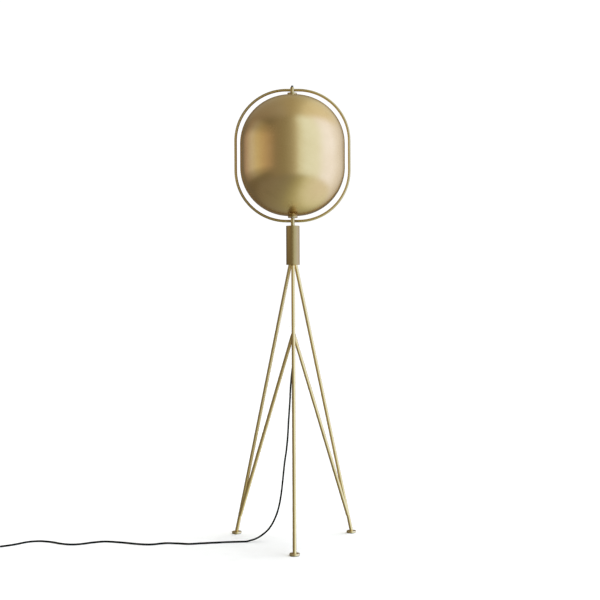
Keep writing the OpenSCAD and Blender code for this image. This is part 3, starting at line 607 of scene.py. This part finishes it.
def shade_half():
    """The spun half: outer and inner faces turned, cut flat at the seam, its raw edges eased."""
    outline = [(r, CENTRE_Z + z) for r, z in dome_profile(0)]
    outline += [(r, CENTRE_Z + z) for r, z in reversed(dome_profile(WALL))]
    bm = bmesh.new()
    steps = 240
    rows = [[bm.verts.new(Vector((r * math.cos(a), r * math.sin(a), z)) * MM) for r, z in outline]
            for a in (2 * math.pi * i / steps for i in range(steps))]
    for i in range(steps):
        for j in range(len(outline)):
            k = (j + 1) % len(outline)
            bm.faces.new((rows[i - 1][j], rows[i][j], rows[i][k], rows[i - 1][k]))
    bmesh.ops.bisect_plane(bm, geom=bm.verts[:] + bm.edges[:] + bm.faces[:], plane_co=(0, SEAM_Y * MM, 0),
                           plane_no=(0, 1, 0), clear_outer=True)
    rim = [e for e in bm.edges if e.is_boundary]
    bmesh.ops.bridge_loops(bm, edges=rim)
    lips = [e for e in rim if e.is_valid]
    bmesh.ops.bevel(bm, geom=lips, offset=0.3 * MM, segments=2, profile=0.5, affect="EDGES")
    return mesh_object("spun_shade", bm, brass_spun)


place(shade_half(), "shade", "brass_satin", "shade_shell")


# ---------------------------------------------------------------- switch

def stadium(inset, z, n=96):
    """The foot switch's outline from above, in by `inset`."""
    half, r = SWITCH_L / 2 - SWITCH_W / 2, SWITCH_W / 2 - inset
    points = []
    for i in range(n):
        a = 2 * math.pi * (i + 0.5) / n
        points.append((SWITCH_X + math.copysign(half, math.cos(a)) + r * math.cos(a),
                       SWITCH_Y + r * math.sin(a), z))
    return points


def well(radius, z, n=96):
    return [(SWITCH_X + radius * math.cos(2 * math.pi * (i + 0.5) / n),
             SWITCH_Y + radius * math.sin(2 * math.pi * (i + 0.5) / n), z) for i in range(n)]


SWITCH_L, SWITCH_W, SWITCH_H, WELL_R = 50.0, 28.0, 18.0, 8.9
casing = [stadium(1.2, 0), stadium(0.3, 0.4), stadium(0, 1.2), stadium(0, 8.4), stadium(0.5, 8.6),
          stadium(0.5, 9.0), stadium(0, 9.2), stadium(0.2, 14.5), stadium(0.9, 16.4), stadium(2.0, 17.5),
          stadium(3.4, SWITCH_H), well(WELL_R + 0.5, SWITCH_H), well(WELL_R, SWITCH_H - 0.5),
          well(WELL_R, 10)]
switch_pieces = [place(loft("switch_casing", casing, plastic_black), "stand", "plastic_black", "switch_body")]


def ribbed_gland(name, root, direction, root_r, tip_r, length, ribs):
    """A tapered rubber sleeve round the flex, with a groove between each pair of ribs."""
    pitch = length / ribs
    outline = [(CORD_R + 0.05, 0)]
    for i in range(ribs):
        r = root_r + (tip_r - root_r) * (i + 0.5) / ribs
        outline += [(r, i * pitch), (r, (i + 0.62) * pitch), (r - 0.7, (i + 0.7) * pitch),
                    (r - 0.7, (i + 0.95) * pitch)]
    outline += [(tip_r, length), (CORD_R + 0.05, length)]
    turn = Vector((0, 0, 1)).rotation_difference(Vector(direction)).to_matrix()
    return turned(name, eased(outline, 0.25, 2), plastic_black, root, turn, steps=40)


for name, side in (("gland_out", 1), ("gland_in", -1)):
    gland = ribbed_gland(name, (SWITCH_X + side * (SWITCH_L / 2 - 1), SWITCH_Y, ENTRY_Z), (side, 0, 0),
                         4.5, 3.7, SWITCH_END - SWITCH_L / 2 + 1, 6)
    switch_pieces.append(place(gland, "stand", "plastic_black", "switch_body"))

dish = [(0, 12), (8.5, 12), (8.5, 20.6), (8.2, 21.2), (7.4, 21.5), (6.6, 21.3), (4, 20.9), (0, 20.7)]
button = turned("switch_plunger", dish, plastic_grey, (SWITCH_X, SWITCH_Y, 0), steps=64)
place(button, "button", "plastic_grey", "switch_button")


# ---------------------------------------------------------------- plug

def plug_section(y, half_w, half_t, corner, n=5):
    """Rounded rectangle across the plug at `y` along it."""
    points = []
    corners = ((1, 1, 0), (-1, 1, 90), (-1, -1, 180), (1, -1, 270))
    for sx, sz, start in corners:
        for k in range(n + 1):
            a = math.radians(start + 90 * k / n)
            points.append((PLUG_X + sx * (half_w - corner) + corner * math.cos(a), PLUG_Y + y,
                           PLUG_Z + sz * (half_t - corner) + corner * math.sin(a)))
    return points


PLUG_L, PLUG_HALF_W, PLUG_HALF_T = 34.0, 17.5, PLUG_Z
stations = [(-10, 6.8, 5.2), (-9.4, 7.5, 5.9), (-7, 8.2, 6.3), (-3, 11.2, 6.6), (0.5, 15.2, 6.8),
            (3, 17, PLUG_HALF_T), (5, PLUG_HALF_W, PLUG_HALF_T)]
for i in range(4):
    groove = 11 + 4.5 * i
    stations += [(groove, PLUG_HALF_W, PLUG_HALF_T), (groove + 0.5, PLUG_HALF_W - 0.6, PLUG_HALF_T - 0.5),
                 (groove + 1.3, PLUG_HALF_W - 0.6, PLUG_HALF_T - 0.5),
                 (groove + 1.8, PLUG_HALF_W, PLUG_HALF_T)]
stations += [(PLUG_L - 1.2, PLUG_HALF_W, PLUG_HALF_T), (PLUG_L - 0.3, PLUG_HALF_W - 0.4, PLUG_HALF_T - 0.4),
             (PLUG_L, PLUG_HALF_W - 1.2, PLUG_HALF_T - 1.2)]
plug = loft("plug_moulding", [plug_section(y, w, t, 3) for y, w, t in stations], plastic_black)
tail = ribbed_gland("plug_tail", (PLUG_X, PLUG_Y - 9, PLUG_Z), (0, -1, 0), 4.75, 3.6, 23, 7)
for piece in (plug, tail):
    place(piece, "stand", "plastic_black", "plug_body")


# ---------------------------------------------------------------- tie round the coil

def tie_loop(y, half_w, low, high, corner, n=5):
    """Rounded rectangle standing across the coil's turns."""
    turn = Matrix.Rotation(math.radians(20), 3, "Z")
    points = []
    for sx, z, start in ((1, high, 0), (-1, high, 90), (-1, low, 180), (1, low, 270)):
        for k in range(n + 1):
            a = math.radians(start + 90 * k / n)
            p = Vector((COIL_R + sx * (half_w - corner) + corner * math.cos(a), y,
                        z - math.copysign(corner, z - (low + high) / 2) + corner * math.sin(a)))
            points.append(Vector((COIL_X, COIL_Y, 0)) + turn @ p)
    return points


COIL_R, TIE_HALF_W, TIE_HALF_L, TIE_T, TIE_TOP = 33.0, 12.4, 4.5, 0.8, 13.7
inner = (TIE_HALF_W - TIE_T, TIE_T, TIE_TOP - TIE_T, 1.6)
outer = (TIE_HALF_W, 0, TIE_TOP, 2.4)
band = [tie_loop(-TIE_HALF_L, *inner), tie_loop(-TIE_HALF_L, *outer), tie_loop(TIE_HALF_L, *outer),
        tie_loop(TIE_HALF_L, *inner)]
tie = place(loft("coil_tie", band, plastic_grey, closed=True), "stand", "plastic_grey", "cord_tie")


# ---------------------------------------------------------------- flex

curve = bpy.data.curves.new("flex", "CURVE")
curve.dimensions = "3D"
curve.bevel_depth = CORD_R * MM
curve.bevel_resolution = 6
curve.use_fill_caps = True
spline = curve.splines.new("POLY")
spline.points.add(len(cord_path) - 1)
for point, at in zip(spline.points, cord_path):
    point.co = (*at, 1)
curve.materials.append(flex_black)
flex = link(bpy.data.objects.new("flex", curve))
place(flex, "stand", "flex_black", "cord_tube", "cord_tail", "cord_coil")
